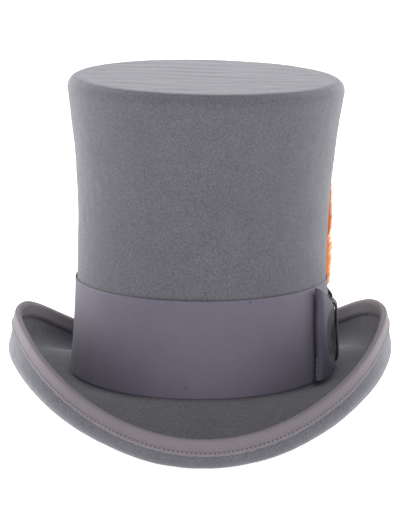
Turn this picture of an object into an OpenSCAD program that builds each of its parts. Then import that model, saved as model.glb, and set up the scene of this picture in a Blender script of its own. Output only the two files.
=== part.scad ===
// Wool felt top hat: tall waisted crown with a flat tip, a rolled and bound brim,
// a ribbon band with a flat bow, a feather that slips out of the bow, and its inner fittings.
// The front of the hat faces -Y, the bow is on +X and the hat stands on the lowest part of its brim.

/* [Crown] */
// Width of the felt crown where it meets the brim, across the head
crown_w = 173; // [160:1:190]
// Length of the felt crown where it meets the brim, front to back
crown_l = 204; // [190:1:222]
// Height of the crown from the brim to the tip
crown_h = 199; // [170:1:215]
// How far the side walls draw in at the waist
waist_in = 3.7; // [1.5:0.1:5]
// Height of the waist above the brim
waist_z = 92; // [80:1:96]
// How far the top edge stands out past the foot of the wall
flare_out = 5; // [2:0.1:8]
// Radius of the rounded edge of the tip
tip_round = 7.5; // [6:0.5:9]
// How far the tip stands over towards the bow's side
lean = 4.9; // [0:0.1:6]
// How steeply the tip slopes down towards the bow's side, in degrees
tip_tilt = 1.2; // [0:0.1:2]
// Thickness of the wool felt
felt = 2.5; // [2:0.1:3]

/* [Brim at the sides] */
// Slope of the brim as it leaves the crown, in degrees above level
side_slope = 14.5; // [6:0.5:18]
// Length of the straight stretch next to the crown
side_flat = 32; // [26:1:34]
// Radius of the curl
side_curl = 12; // [10:0.5:16]
// Direction in which the curl ends, in degrees above level
side_end = 103; // [95:1:112]
// Length of the straight lip past the curl
side_lip = 19.5; // [12:0.5:22]

/* [Brim at the front and back] */
// Slope of the brim as it leaves the crown, in degrees above level
front_slope = -38; // [-46:1:-32]
// Length of the straight stretch next to the crown
front_flat = 46; // [38:1:50]
// Radius of the curl
front_curl = 11.5; // [9:0.5:14]
// Direction in which the curl ends, in degrees above level
front_end = 102; // [90:1:110]
// Length of the straight lip past the curl
front_lip = 4; // [3:0.5:8]
// How far the foot of the crown dips at the front and back
foot_dip = 0.4; // [0:0.1:3]

/* [Ribbons] */
// Height of the upper edge of the hat band above the brim
band_top = 66; // [60:1:70]
// Thickness of a layer of ribbon
ribbon = 0.8; // [0.5:0.1:1]
// Width of the brim binding on each face of the brim
binding_w = 8.5; // [7:0.5:12]
// Distance of the binding's seam from the binding's edge
seam_in = 2; // [1.5:0.25:3]

/* [Bow and feather] */
// Length of the bow along the side of the hat
bow_len = 110; // [100:1:116]
// Height of a loop at its rounded end
loop_h = 61; // [54:1:62]
// Height of the bow where the knot pinches it
waist_h = 36; // [30:1:42]
// How far the knot hangs below the middle of the band
knot_drop = 7.5; // [4:0.5:8]
// Width of the knot
knot_w = 17; // [14:1:20]
// How far behind the knot the feather stands
feather_y = 19; // [17:0.5:21]
// Height of the feather's point above the brim
feather_top = 126; // [116:1:128]
// Width of the feather's vane
vane_w = 24; // [18:1:26]
// Length of quill that is tucked into the bow, which is also the travel out of it
tuck = 16; // [12:1:18]

/* [Inside] */
// Height of the leather sweatband
sweat_h = 34; // [28:1:40]
// Thickness of the leather
leather = 1.2; // [0.8:0.1:1.5]
// Thickness of the satin lining
satin = 0.5; // [0.4:0.1:0.8]

/* [Hidden] */

around = 72;            // facets round the hat
half_w = crown_w / 2;
half_l = crown_l / 2;
gap = 0.15;             // air between two layers that lie on each other
root_round = 3;         // radius of the corner between crown and brim
curl_steps = 7;
root_steps = 3;
flare_power = 1.85;     // how late the wall flares out above the waist
foot_power = 4;         // how late the wall spreads out below the waist
dip_power = 2.5;        // how closely the dips keep to the front and back
wall_foot = 8;          // lowest full ring of the crown wall
wall_lean = 8;          // lean of the wall just under the tip, in degrees
wall_top = crown_h - tip_round * (1 + sin(wall_lean));
wall_rings = [20, 40, 65, 92, 110, 130, 150, 167, 182];

// Share of the front's shape at an angle round the hat: 0 at the sides, 1 at front and back
function front_share(th) = pow(abs(sin(th)), dip_power);
function blend(side, front, th) = side + (front - side) * front_share(th);

// Lowest point of the brim's underside, which is the height of the table under the hat
lift = foot_dip - front_flat * sin(front_slope) - front_curl * (cos(front_slope) - 1) + felt / 2;

// How far the crown has leaned over towards the bow's side at height z
function shift(z) = lean * max(z, 0) / crown_h;
// How steeply a level ring of the crown slopes down towards the bow's side at height z
function sink(z) = tan(tip_tilt) * pow(max(z, 0) / crown_h, 2);

// A point d outside the foot of the crown, at height z, in the hat's own frame
function hat_point(th, d, z) =
    let (
        nx = cos(th) / half_w,
        ny = sin(th) / half_l,
        n = norm([nx, ny]),
        x = half_w * cos(th) + nx / n * d
    )
    [x + shift(z), half_l * sin(th) + ny / n * d, z + lift - x * sink(z)];

// How far the outside of the crown wall stands from its foot
function wall(z) =
    z < waist_z
        ? -waist_in * (1 - pow((waist_z - z) / waist_z, foot_power))
        : -waist_in + (waist_in + flare_out) * pow((z - waist_z) / (wall_top - waist_z), flare_power);

// The middle of the brim's thickness at distance s from the crown: [d, z, direction]
function brim_middle(th, s) =
    let (
        slope = blend(side_slope, front_slope, th),
        end = blend(side_end, front_end, th),
        curl = blend(side_curl, front_curl, th),
        flat = blend(side_flat, front_flat, th),
        turn = min(max((s - flat) / curl * 180 / PI, 0), end - slope),
        dir = slope + turn,
        lip = max(s - flat - curl * (end - slope) * PI / 180, 0),
        straight = min(s, flat)
    )
    [
        straight * cos(slope) + curl * (sin(dir) - sin(slope)) + lip * cos(end),
        straight * sin(slope) + curl * (cos(slope) - cos(dir)) + lip * sin(end)
            - foot_dip * front_share(th),
        dir
    ];
// The same, moved towards the underside by the distance under
function brim_face(th, s, under) =
    let (m = brim_middle(th, s))
    [m[0] + under * sin(m[2]), m[1] - under * cos(m[2])];
function curl_start(th) = blend(side_flat, front_flat, th);
function curl_length(th) =
    blend(side_curl, front_curl, th) * PI / 180
        * (blend(side_end, front_end, th) - blend(side_slope, front_slope, th));
function brim_width(th) = curl_start(th) + curl_length(th) + blend(side_lip, front_lip, th);

// Centre of the rounded corner between the wall and the brim, and the angle it turns through
root_d = wall(wall_foot / 2);
function root_turn(th) = 90 + blend(side_slope, front_slope, th);
function root_centre(th) =
    let (
        slope = blend(side_slope, front_slope, th),
        s = (root_d + felt / 2 * sin(slope)) / cos(slope),
        z = felt / 2 * cos(slope) + s * sin(slope) - foot_dip * front_share(th)
    )
    [root_d + root_round, z + root_round * tan(root_turn(th) / 2)];
function root_arc(th, r, angles) =
    let (c = root_centre(th))
    [for (a = angles) [c[0] - r * cos(a), c[1] - r * sin(a)]];

// Triangles between one ring of points and the next, all the way round the hat
function side_faces(m, last) = [
    for (k = [0:around - 1], j = [0:last])
        let (k2 = (k + 1) % around, j2 = (j + 1) % m)
        each [
            [k * m + j, k2 * m + j, k2 * m + j2],
            [k * m + j, k2 * m + j2, k * m + j2]
        ]
];
function all_rings(profile) = [
    for (k = [0:around - 1])
        let (th = k * 360 / around)
        for (p = profile(th)) hat_point(th, p[0], p[1])
];

// A closed band round the hat: profile(th) lists [d, z] clockwise
module oval_ring(profile) {
    m = len(profile(0));
    polyhedron(all_rings(profile), side_faces(m, m - 1), convexity = 10);
}

// A dome round the hat: the profile runs from the flat top outside to the flat ceiling inside
module oval_dome(profile) {
    m = len(profile(0));
    top = [for (k = [around - 1:-1:0]) k * m];
    ceiling = [for (k = [0:around - 1]) k * m + m - 1];
    polyhedron(all_rings(profile), concat([top, ceiling], side_faces(m, m - 2)), convexity = 10);
}

// A closed skin between two grids of points, front[i][j] outside and back[i][j] inside
module skin_between(front, back) {
    n = len(front);
    m = len(front[0]);
    size = n * m;
    pts = concat([for (row = front) each row], [for (row = back) each row]);
    function quad(a, b, c, d) = [[a, b, c], [a, c, d]];
    outer = [for (i = [0:n - 2], j = [0:m - 2])
        each quad(i * m + j, i * m + j + 1, (i + 1) * m + j + 1, (i + 1) * m + j)];
    inner = [for (f = outer) [f[2] + size, f[1] + size, f[0] + size]];
    ends = [for (j = [0:m - 2]) each concat(
        quad(j + 1, j, size + j, size + j + 1),
        quad((n - 1) * m + j, (n - 1) * m + j + 1, size + (n - 1) * m + j + 1, size + (n - 1) * m + j)
    )];
    edges = [for (i = [0:n - 2]) each concat(
        quad(i * m, (i + 1) * m, size + (i + 1) * m, size + i * m),
        quad((i + 1) * m + m - 1, i * m + m - 1, size + i * m + m - 1, size + (i + 1) * m + m - 1)
    )];
    polyhedron(pts, concat(outer, inner, ends, edges), convexity = 6);
}

// A closed sleeve between an outer and an inner stack of closed rings
module sleeve(outer, inner) {
    n = len(outer);
    m = len(outer[0]);
    size = n * m;
    pts = concat([for (row = outer) each row], [for (row = inner) each row]);
    function wrap(i) = [for (j = [0:m - 1])
        let (a = i * m + j, b = i * m + (j + 1) % m)
        each [[a, b, b + m], [a, b + m, a + m]]];
    outside = [for (i = [0:n - 2]) each wrap(i)];
    inside = [for (f = outside) [f[2] + size, f[1] + size, f[0] + size]];
    function rim(i, flip) = [for (j = [0:m - 1])
        let (a = i * m + j, b = i * m + (j + 1) % m)
        each flip
            ? [[a, b + size, b], [a, a + size, b + size]]
            : [[a, b, b + size], [a, b + size, a + size]]];
    polyhedron(pts, concat(outside, inside, rim(0, true), rim(n - 1, false)), convexity = 6);
}

// Felt: crown and brim blocked from one piece
function tip_arc(r, angles) =
    let (c = [flare_out - tip_round * cos(wall_lean), crown_h - tip_round])
    [for (a = angles) [c[0] + r * cos(a), c[1] + r * sin(a)]];
function felt_profile(th) =
    let (
        turn = root_turn(th),
        up = [for (k = [0:root_steps]) turn * k / root_steps],
        down = [for (k = [root_steps:-1:0]) turn * k / root_steps],
        start = curl_start(th),
        stations = concat([for (k = [0:curl_steps]) start + curl_length(th) * k / curl_steps],
            [brim_width(th)])
    )
    concat(
        tip_arc(tip_round, [90, 60, 30, 5]),
        [for (k = [len(wall_rings) - 1:-1:0]) [wall(wall_rings[k]), wall_rings[k]]],
        [[wall(wall_foot), wall_foot]],
        root_arc(th, root_round, up),
        [for (s = stations) brim_face(th, s, -felt / 2)],
        [for (k = [len(stations) - 1:-1:0]) brim_face(th, stations[k], felt / 2)],
        root_arc(th, root_round + felt, down),
        [[wall(wall_foot) - felt, wall_foot]],
        [for (z = wall_rings) [wall(z) - felt, z]],
        tip_arc(tip_round - felt, [5, 45, 90])
    );
module felt_body() {
    color([0.36, 0.36, 0.38]) oval_dome(function(th) felt_profile(th));
}

// Grosgrain ribbon folded over the edge of the brim
binding_marks = [binding_w, binding_w - seam_in, binding_w * 0.4, 0];
binding_gap = 0.25;
module brim_binding() {
    near = felt / 2 + binding_gap;
    far = near + ribbon;
    color([0.52, 0.49, 0.52]) oval_ring(function(th)
        let (w = brim_width(th))
        concat(
            [for (m = binding_marks) brim_face(th, w - m, -far)],
            [brim_face(th, w + binding_gap + ribbon, -near)],
            [brim_face(th, w + binding_gap + ribbon, near)],
            [for (k = [len(binding_marks) - 1:-1:0]) brim_face(th, w - binding_marks[k], far)],
            [for (m = binding_marks) if (m > 0) brim_face(th, w - m, near)],
            [brim_face(th, w + binding_gap, near), brim_face(th, w + binding_gap, -near)],
            [for (k = [len(binding_marks) - 2:-1:0]) brim_face(th, w - binding_marks[k], -near)]
        ));
}

// The seam that holds the binding, as a line of thread on each face of the brim
thread_w = 0.5;
module seam_line(face) {
    out = felt / 2 + binding_gap + ribbon + 0.15;
    oval_ring(function(th)
        let (s = brim_width(th) - binding_w + seam_in, a = face * out, b = face * (out + thread_w))
        face > 0
            ? [brim_face(th, s, a), brim_face(th, s + thread_w, a),
               brim_face(th, s + thread_w, b), brim_face(th, s, b)]
            : [brim_face(th, s, b), brim_face(th, s + thread_w, b),
               brim_face(th, s + thread_w, a), brim_face(th, s, a)]);
}
module binding_thread() {
    color([0.45, 0.42, 0.46]) {
        seam_line(1);
        seam_line(-1);
    }
}

// Wide grosgrain ribbon round the crown
function band_foot(th) = root_centre(th)[1] - 0.4;
band_rings = [for (z = wall_rings) if (z < band_top) z];
function band_profile(th) =
    let (
        heights = concat([band_top], [for (k = [len(band_rings) - 1:-1:0]) band_rings[k]], [wall_foot]),
        foot = band_foot(th)
    )
    concat(
        [for (z = heights) [wall(z) + gap + ribbon, z]],
        [[root_d + gap + ribbon, foot], [root_d + gap, foot]],
        [for (k = [len(heights) - 1:-1:0]) [wall(heights[k]) + gap, heights[k]]]
    );
module hat_band() {
    color([0.43, 0.40, 0.46]) oval_ring(function(th) band_profile(th));
}

// Small thread tacks that hold the band to the felt, just inside its two edges
tack = [0.5, 2.4, 0.4];  // across, along and standing proud
module tack_at(th, z) {
    p = hat_point(th, wall(z) + gap + ribbon + 0.1, z);
    q = hat_point(th, 1 + wall(z), z);
    translate(p)
        rotate([0, 0, atan2(q[1] - hat_point(th, wall(z), z)[1], q[0] - hat_point(th, wall(z), z)[0])])
            translate([0, -tack[1] / 2, -tack[0] / 2])
                cube([tack[2], tack[1], tack[0]]);
}
tack_angles = [35, 90, 145, 200, 250, 290];
module band_tacks() {
    color([0.62, 0.60, 0.64]) for (th = tack_angles) {
        tack_at(th, band_top - 2);
        tack_at(th + 12, wall_foot + 2);
    }
}

// Bow: the distances below are measured outwards from the face of the hat band
bow_z = (band_top + wall_foot) / 2 - 1;
bow_half = bow_len / 2;
bow_columns = 12;
bow_steps = [for (k = [-bow_columns:bow_columns]) k / bow_columns];
function bow_angle(y) = asin(y / (half_l + wall(bow_z) + ribbon));
function bow_point(y, out, z) =
    hat_point(bow_angle(y), wall(min(max(z, wall_foot), band_top)) + gap + ribbon + out, z);
// The middle of the bow's height hangs lower at the knot than at the ends
function bow_share(y) = pow(min(abs(y) / bow_half, 1), 2.2);
function bow_mid(y) = bow_z - knot_drop * (1 - bow_share(y));
// The backing bulges where the quill runs behind it
quill_r = 0.8;
pocket_deep = 2.6;
pocket_wide = 6;
function bump(y, wide) = exp(-pow(y / wide, 2));
function pocket(y) = 0.2 + pocket_deep * bump(y - feather_y, pocket_wide);
backing_half = bow_half - 8;
backing_h = 40;
backing_top = bow_z + 17;  // the feather is tucked in here
function backing_front(y) = pocket(y) + ribbon;
module bow_backing() {
    rows = [for (v = [0:4]) backing_top + backing_h * (v / 4 - 1)];
    ys = [for (t = bow_steps) t * backing_half];
    color([0.34, 0.33, 0.38]) skin_between(
        [for (y = ys) [for (z = rows) bow_point(y, backing_front(y), z)]],
        [for (y = ys) [for (z = rows) bow_point(y, pocket(y), z)]]
    );
}

// The loops: one ribbon folded into two flattened loops, pinched at the middle
loop_deep = 5;
waist_deep = 2.2;
knot_room = 0.5;
function loop_round(y) = sqrt(max(1 - pow(max(abs(y) / bow_half - 0.86, 0) / 0.14, 2), 0.02));
function loop_out(y) =
    0.2 + ribbon + pocket_deep * bump(y - feather_y, 9) + 0.3
        + (ribbon + 2 * knot_room) * bump(y, 14);
function loop_thick(y) = (waist_deep + (loop_deep - waist_deep) * bow_share(y)) * loop_round(y);
function loop_tall(y) = waist_h + (loop_h - waist_h) * bow_share(y);
// The loop's end is a little hollow, so its corners reach further than its middle
function loop_reach(y, v) = y * (1 + 0.05 * (4 * v * v - 1) * bow_share(y));
loop_rows = [-0.5, -0.42, -0.2, 0, 0.2, 0.42, 0.5];
function loop_edge(v) = abs(v) > 0.45 ? 0.35 : 1;
module bow_loops() {
    ys = [for (t = bow_steps) t * bow_half];
    color([0.36, 0.35, 0.40]) skin_between(
        [for (y = ys) [for (v = loop_rows)
            bow_point(loop_reach(y, v), loop_out(y) + loop_thick(y) * loop_edge(v),
                bow_mid(y) + v * loop_tall(y))]],
        [for (y = ys) [for (v = loop_rows)
            bow_point(loop_reach(y, v), loop_out(y), bow_mid(y) + v * loop_tall(y))]]
    );
}

// The knot: a short ribbon wrapped round the middle of the loops
knot_columns = 4;
knot_corners = [[-1, 0.8], [-0.7, 1], [0.6, 1], [1, 0.85], [1, -0.85], [0.6, -1], [-0.7, -1], [-1, -0.8]];
module bow_knot() {
    ys = [for (k = [0:knot_columns]) knot_w * (0.5 - k / knot_columns)];
    tall = (loop_tall(knot_w / 2) + 0.8) / 2;
    function ring(y, grow) =
        let (deep = loop_thick(y) / 2 + knot_room, mid = loop_out(y) + loop_thick(y) / 2)
        [for (c = knot_corners)
            bow_point(y, mid + c[0] * (deep + grow), bow_mid(0) + c[1] * (tall + grow))];
    color([0.38, 0.37, 0.42])
        sleeve([for (y = ys) ring(y, ribbon)], [for (y = ys) ring(y, 0)]);
}

// Feather: it stands upright behind the knot and leans out with the wall above the bow
quill_x = half_w * sqrt(1 - pow(feather_y / half_l, 2)) + wall(band_top) + shift(band_top)
    + gap + ribbon + 0.25 + quill_r;
quill_foot = backing_top - tuck - 3;
lean_out = 3.9;
function feather_x(z) =
    quill_x + lean_out * pow(max(z - band_top, 0) / (feather_top - band_top), 1.4);
function quill_taper(z) =
    z < band_top ? quill_r : max(quill_r * (feather_top - z) / (feather_top - band_top), 0.3);
quill_sides = 10;
module feather_quill() {
    levels = concat([quill_foot, band_top],
        [for (k = [1:8]) band_top + (feather_top - 4 - band_top) * k / 8]);
    pts = [for (z = levels, k = [0:quill_sides - 1])
        let (a = k * 360 / quill_sides, r = quill_taper(z))
        [feather_x(z) + r * cos(a), feather_y + r * sin(a), z + lift]];
    n = len(levels);
    m = quill_sides;
    sides = [for (i = [0:n - 2], k = [0:m - 1])
        let (k2 = (k + 1) % m)
        each [[i * m + k, (i + 1) * m + k, (i + 1) * m + k2], [i * m + k, (i + 1) * m + k2, i * m + k2]]];
    color([0.93, 0.78, 0.62])
        polyhedron(pts, concat(sides, [[for (k = [0:m - 1]) k], [for (k = [m - 1:-1:0]) (n - 1) * m + k]]));
}

// One half of the vane on each side of the quill
vane_foot = backing_top + 37;
vane_faces = [-0.35, 0.35];  // distances of the two faces from the quill's middle
quill_clear = 0.1;
function leaf(u) = pow(sin(180 * pow(u, 0.8)), 0.6);
module feather_half(side, z0, z1, reach, near_face, far_face, u0, u1) {
    steps = 10;
    function near(z) = quill_taper(z) + quill_clear;
    function far(u, z) = near(z) + 0.3 + reach * leaf(u0 + (u1 - u0) * u);
    cols = [for (k = [0:steps]) let (u = k / steps, z = z0 + (z1 - z0) * u)
        side > 0 ? [near(z), far(u, z), z] : [-far(u, z), -near(z), z]];
    skin_between(
        [for (c = cols) [for (y = [c[1], c[0]]) [feather_x(c[2]) + far_face, feather_y + y, c[2] + lift]]],
        [for (c = cols) [for (y = [c[1], c[0]]) [feather_x(c[2]) + near_face, feather_y + y, c[2] + lift]]]
    );
}
module feather_vane() {
    color([0.98, 0.52, 0.20]) for (side = [-1, 1])
        feather_half(side, vane_foot, feather_top, vane_w / 2, vane_faces[0], vane_faces[1], 0.3, 0.97);
}

// Soft down below the vane, fluffed outwards
down_faces = [0.4, 3.5];
module feather_down() {
    color([1, 0.72, 0.48]) for (side = [-1, 1])
        feather_half(side, backing_top + 2, vane_foot - 0.5, vane_w * 0.45, down_faces[0], down_faces[1],
            0.04, 0.7);
}

// Sweatband: leather strip round the inside of the opening
sweat_foot = wall_foot;
sweat_top = sweat_foot + sweat_h;
sweat_out = felt + gap + satin + 0.35;
sweat_rings = concat([sweat_foot], [for (z = wall_rings) if (z < sweat_top - 2) z], [sweat_top]);
module sweatband() {
    color([0.30, 0.24, 0.21]) oval_ring(function(th) concat(
        [for (k = [len(sweat_rings) - 1:-1:0]) [wall(sweat_rings[k]) - sweat_out, sweat_rings[k]]],
        [for (z = sweat_rings) [wall(z) - sweat_out - leather, z]]
    ));
}

// Reed: a thin rod along the lower edge of the sweatband
reed_r = 1;
module sweatband_reed() {
    c = [wall(sweat_foot) - sweat_out - leather / 2, sweat_foot - reed_r - 0.15];
    color([0.18, 0.16, 0.16]) oval_ring(function(th)
        [for (k = [0:5]) [c[0] + reed_r * cos(-60 * k), c[1] + reed_r * sin(-60 * k)]]);
}
module sweatband_thread() {
    z = sweat_foot + 2;
    d = wall(z) - sweat_out - leather - 0.05;
    color([0.75, 0.70, 0.62]) oval_ring(function(th)
        [[d, z + thread_w], [d, z], [d - thread_w, z], [d - thread_w, z + thread_w]]);
}

// Small ribbon bow that marks the back of the sweatband
mark_w = 22;
mark_h = 9;
mark_thick = 1.6;
module sweatband_bow() {
    z = sweat_foot + 9;
    y = half_l + wall(z) - sweat_out - leather - 1.6;
    color([0.24, 0.22, 0.26])
        translate([shift(z), y, z + lift])
            rotate([90, 0, 0])
                linear_extrude(height = mark_thick)
                    polygon([[-mark_w / 2, -mark_h / 2], [-2, -1.6], [2, -1.6], [mark_w / 2, -mark_h / 2],
                             [mark_w / 2, mark_h / 2], [2, 1.6], [-2, 1.6], [-mark_w / 2, mark_h / 2]]);
}

// Lining: satin wall, tucked behind the sweatband, and a satin tip
lining_foot = sweat_top - 14;
lining_rings = concat([lining_foot], [for (z = wall_rings) if (z > lining_foot + 4) z]);
lining_ceiling = crown_h - felt - 2;
lining_turn = 188;      // height at which the satin starts to turn over
lining_shoulder = [3, lining_ceiling - 1.2];  // how far in, and how high, the satin turns over
module lining_side() {
    near = felt + gap;
    far = near + satin;
    turn_d = wall(wall_top) - lining_shoulder[0];
    color([0.30, 0.29, 0.33]) oval_ring(function(th) concat(
        [[turn_d - near, lining_shoulder[1]], [wall(lining_turn) - near - 0.3, lining_turn]],
        [for (k = [len(lining_rings) - 1:-1:0]) [wall(lining_rings[k]) - near, lining_rings[k]]],
        [for (z = lining_rings) [wall(z) - far, z]],
        [[wall(lining_turn) - far - 0.3, lining_turn], [turn_d - far, lining_shoulder[1]]]
    ));
}
module lining_tip() {
    d = wall(wall_top) - lining_shoulder[0] - felt - gap;
    color([0.34, 0.33, 0.37])
        translate([shift(lining_ceiling), 0, lining_ceiling + lift])
            rotate([0, atan(sink(lining_ceiling)), 0])
                translate([0, 0, -satin])
                    linear_extrude(height = satin)
                        polygon([for (k = [0:around - 1])
                            let (p = hat_point(k * 360 / around, d, lining_ceiling))
                            [p[0] - shift(lining_ceiling), p[1]]]);
}

felt_body();
brim_binding();
binding_thread();
hat_band();
band_tacks();
bow_backing();
bow_loops();
bow_knot();
feather_quill();
feather_vane();
feather_down();
sweatband();
sweatband_reed();
sweatband_thread();
sweatband_bow();
lining_side();
lining_tip();
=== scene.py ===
from math import cos, pi, radians, sin, sqrt, tan

import bmesh
import bpy
import numpy as np
from mathutils import Matrix, Vector


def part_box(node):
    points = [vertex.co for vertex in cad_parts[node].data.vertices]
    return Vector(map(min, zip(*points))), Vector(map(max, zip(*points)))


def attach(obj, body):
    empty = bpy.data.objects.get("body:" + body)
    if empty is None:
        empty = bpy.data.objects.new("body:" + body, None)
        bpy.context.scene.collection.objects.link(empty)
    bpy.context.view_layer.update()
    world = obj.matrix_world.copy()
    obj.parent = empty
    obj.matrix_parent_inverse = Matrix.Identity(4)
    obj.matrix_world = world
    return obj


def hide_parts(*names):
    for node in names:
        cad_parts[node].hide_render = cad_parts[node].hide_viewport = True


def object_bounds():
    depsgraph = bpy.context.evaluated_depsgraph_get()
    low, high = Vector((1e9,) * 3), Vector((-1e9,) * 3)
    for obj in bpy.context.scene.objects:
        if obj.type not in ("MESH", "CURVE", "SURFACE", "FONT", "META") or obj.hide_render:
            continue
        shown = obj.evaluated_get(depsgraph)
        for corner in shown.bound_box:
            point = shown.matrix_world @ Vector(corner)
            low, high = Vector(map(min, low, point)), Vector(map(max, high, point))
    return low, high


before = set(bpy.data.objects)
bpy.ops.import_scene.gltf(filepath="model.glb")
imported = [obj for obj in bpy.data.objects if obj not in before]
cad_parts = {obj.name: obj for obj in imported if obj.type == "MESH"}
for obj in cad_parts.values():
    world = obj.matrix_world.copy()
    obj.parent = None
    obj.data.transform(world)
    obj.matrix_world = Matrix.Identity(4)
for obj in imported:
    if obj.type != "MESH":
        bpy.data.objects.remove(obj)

CAD_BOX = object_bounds()

# ---- sizes, in millimetres
MM = 0.001

# The felt shell, as the CAD model has it
HALF_W = 86.5  # half the crown's width at its foot
HALF_L = 102.0  # half its length
CROWN_H = 199.0
WAIST_IN = 3.7
WAIST_Z = 92.0
FLARE_OUT = 5.0
TIP_ROUND = 7.5
LEAN = 4.9  # how far the tip stands over towards the bow's side
TIP_TILT = radians(1.2)
WALL_LEAN = radians(8)
FELT = 2.5
SIDE = dict(slope=14.5, flat=32.0, curl=12.0, end=103.0, lip=19.5)
FRONT = dict(slope=-38.0, flat=46.0, curl=11.5, end=102.0, lip=4.0)
FOOT_DIP = 0.4
DIP_POWER = 2.5
FLARE_POWER = 1.85
FOOT_POWER = 4
WALL_FOOT = 8.0
WALL_TOP = CROWN_H - TIP_ROUND * (1 + sin(WALL_LEAN))
ROOT_ROUND = 3.0
LIFT = (
    FOOT_DIP - FRONT["flat"] * sin(radians(FRONT["slope"]))
    - FRONT["curl"] * (cos(radians(FRONT["slope"])) - 1) + FELT / 2
)

# Ribbons
GAP = 0.15  # air between layers that lie on each other
RIBBON = 0.8
BAND_TOP = 66.0
BINDING_W = 8.5
BINDING_GAP = 0.25
BINDING_OUT = FELT / 2 + BINDING_GAP + RIBBON / 2
SEAM_IN = 2.0
STITCH_PITCH = 2.9
STITCH_DENT = 0.08  # how far the binding's seam pulls it in
PUCKER = 0.7  # how far its edges rise between stitches
CRINKLE = 0.22  # how far its edges wander
FOLD_RIDGE = 0.35  # the crease along its fold
BAND_LIFT = 0.5  # how far the band's edges stand off the felt
BAND_WAVE = 0.12
SELVEDGE = 0.1  # how much thicker the band is near its edges
RIB_PITCH = 0.85  # distance between two ribs of the grosgrain
BINDING_RIB_PITCH = 1.35
RIB_HEIGHT = 0.10
RIB_STEPS = 3  # stations along a ribbon for each rib
# painted shade: seams and deep folds of the ribbons are darker than any groove
SEAM_SHADE = 0.35  # shades below this are seams and deep folds

# Bow and feather
BOW_Z = (BAND_TOP + WALL_FOOT) / 2 - 1
BOW_HALF = 55.0
LOOP_H = 61.0
KNOT_H = 36.0
KNOT_W = 17.0
UNDER_KNOT = KNOT_W * 0.45  # how far from the middle the knot holds the loops
BOW_RIBBON = 0.6
LOOP_TURN = 2.6  # radius of the fold at the end of each loop
HOLLOW_FROM = 13  # where the hollow in each loop starts
HOLLOW_LONG = 36
# HOLLOW_DEEP also sets how dark the painted shade in each loop's hollow is
HOLLOW_DEEP = 0.85  # share of the room between a loop's two layers
KNOT_DROP = 7.5  # how far the knot hangs below the middle of the band
BACKING_TOP = BOW_Z + 17
BACKING_H = 40.0
FEATHER_Y = 19.0
FEATHER_TOP = 126.0
FEATHER_FOOT = BACKING_TOP - 19
FEATHER_TRAVEL = 16.0  # how far it slides up out of the bow
VANE_FOOT = BACKING_TOP + 37
VANE_W = 24.0
BARB_W, BARB_THICK = 0.34, 0.12
WISP_W, WISP_THICK = 0.14, 0.08
QUILL_R = 0.8
QUILL_OUT = 3.9  # how far its point bends away from the crown
QUILL_ROOM = 2.6  # how far the bow bulges over it

# Inside
SATIN = 0.5
LEATHER = 1.2
SWEAT_H = 34.0
SWEAT_OUT = FELT + GAP + SATIN + 0.35
REED_R = 1.0
LINING_TURN = 3.0  # how far the lining's wall turns in at its top


# ---- the hat's shape
def unit(value):
    """A value held between 0 and 1."""
    return np.clip(value, 0, 1)


def front_share(th):
    """0 at the sides of the hat, 1 at its front and back."""
    return np.abs(np.sin(th)) ** DIP_POWER


def brim_value(key, th):
    return SIDE[key] + (FRONT[key] - SIDE[key]) * front_share(th)


def shift(z):
    """How far the crown has leaned over towards the bow's side at height z."""
    return LEAN * np.clip(z, 0, None) / CROWN_H


def sink(z):
    """How steeply a level ring of the crown slopes down towards the bow's side at height z."""
    return tan(TIP_TILT) * (np.clip(z, 0, None) / CROWN_H) ** 2


def stacked(x, y, z):
    return np.stack(np.broadcast_arrays(x, y, z), axis=-1)


def hat_point(th, d, z):
    """The point d outside the foot of the crown at angle th, at height z above the brim."""
    nx, ny = np.cos(th) / HALF_W, np.sin(th) / HALF_L
    n = np.hypot(nx, ny)
    x = HALF_W * np.cos(th) + nx / n * d
    y = HALF_L * np.sin(th) + ny / n * d
    return stacked(x + shift(z), y, z + LIFT - x * sink(z))


def shrunk(ring, z, share):
    """A ring of the crown at height z, drawn in towards its middle."""
    centre = np.array([shift(z), 0, z + LIFT])
    return (ring - centre) * share + centre


def wall(z):
    """How far the outside of the crown stands from its foot."""
    z = np.asarray(z, dtype=float)
    low = -WAIST_IN * (1 - np.clip((WAIST_Z - z) / WAIST_Z, 0, None) ** FOOT_POWER)
    rise = np.clip((z - WAIST_Z) / (WALL_TOP - WAIST_Z), 0, None)
    return np.where(z < WAIST_Z, low, -WAIST_IN + (WAIST_IN + FLARE_OUT) * rise ** FLARE_POWER)


def curl_length(th):
    return brim_value("curl", th) * np.radians(brim_value("end", th) - brim_value("slope", th))


def brim_width(th):
    return brim_value("flat", th) + curl_length(th) + brim_value("lip", th)


def brim_face(th, s, under):
    """(d, z) on the brim, s from the crown and under the middle of its thickness."""
    slope, end = np.radians(brim_value("slope", th)), np.radians(brim_value("end", th))
    curl, flat = brim_value("curl", th), brim_value("flat", th)
    heading = slope + np.clip((s - flat) / curl, 0, end - slope)
    lip = np.maximum(s - flat - curl * (end - slope), 0)
    straight = np.minimum(s, flat)
    d = straight * np.cos(slope) + curl * (np.sin(heading) - np.sin(slope)) + lip * np.cos(end)
    z = straight * np.sin(slope) + curl * (np.cos(slope) - np.cos(heading)) + lip * np.sin(end)
    z = z - FOOT_DIP * front_share(th)
    return d + under * np.sin(heading), z - under * np.cos(heading)


def root_centre(th):
    """Centre of the rounded corner between the wall and the brim, and the angle it turns through."""
    slope = np.radians(brim_value("slope", th))
    root_d = wall(WALL_FOOT / 2)
    s = (root_d + FELT / 2 * np.sin(slope)) / np.cos(slope)
    z = FELT / 2 * np.cos(slope) + s * np.sin(slope) - FOOT_DIP * front_share(th)
    turn = pi / 2 + slope
    return root_d + ROOT_ROUND, z + ROOT_ROUND * np.tan(turn / 2), turn


def bow_angle(y):
    return np.arcsin(y / (HALF_L + wall(BOW_Z) + RIBBON))


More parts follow.
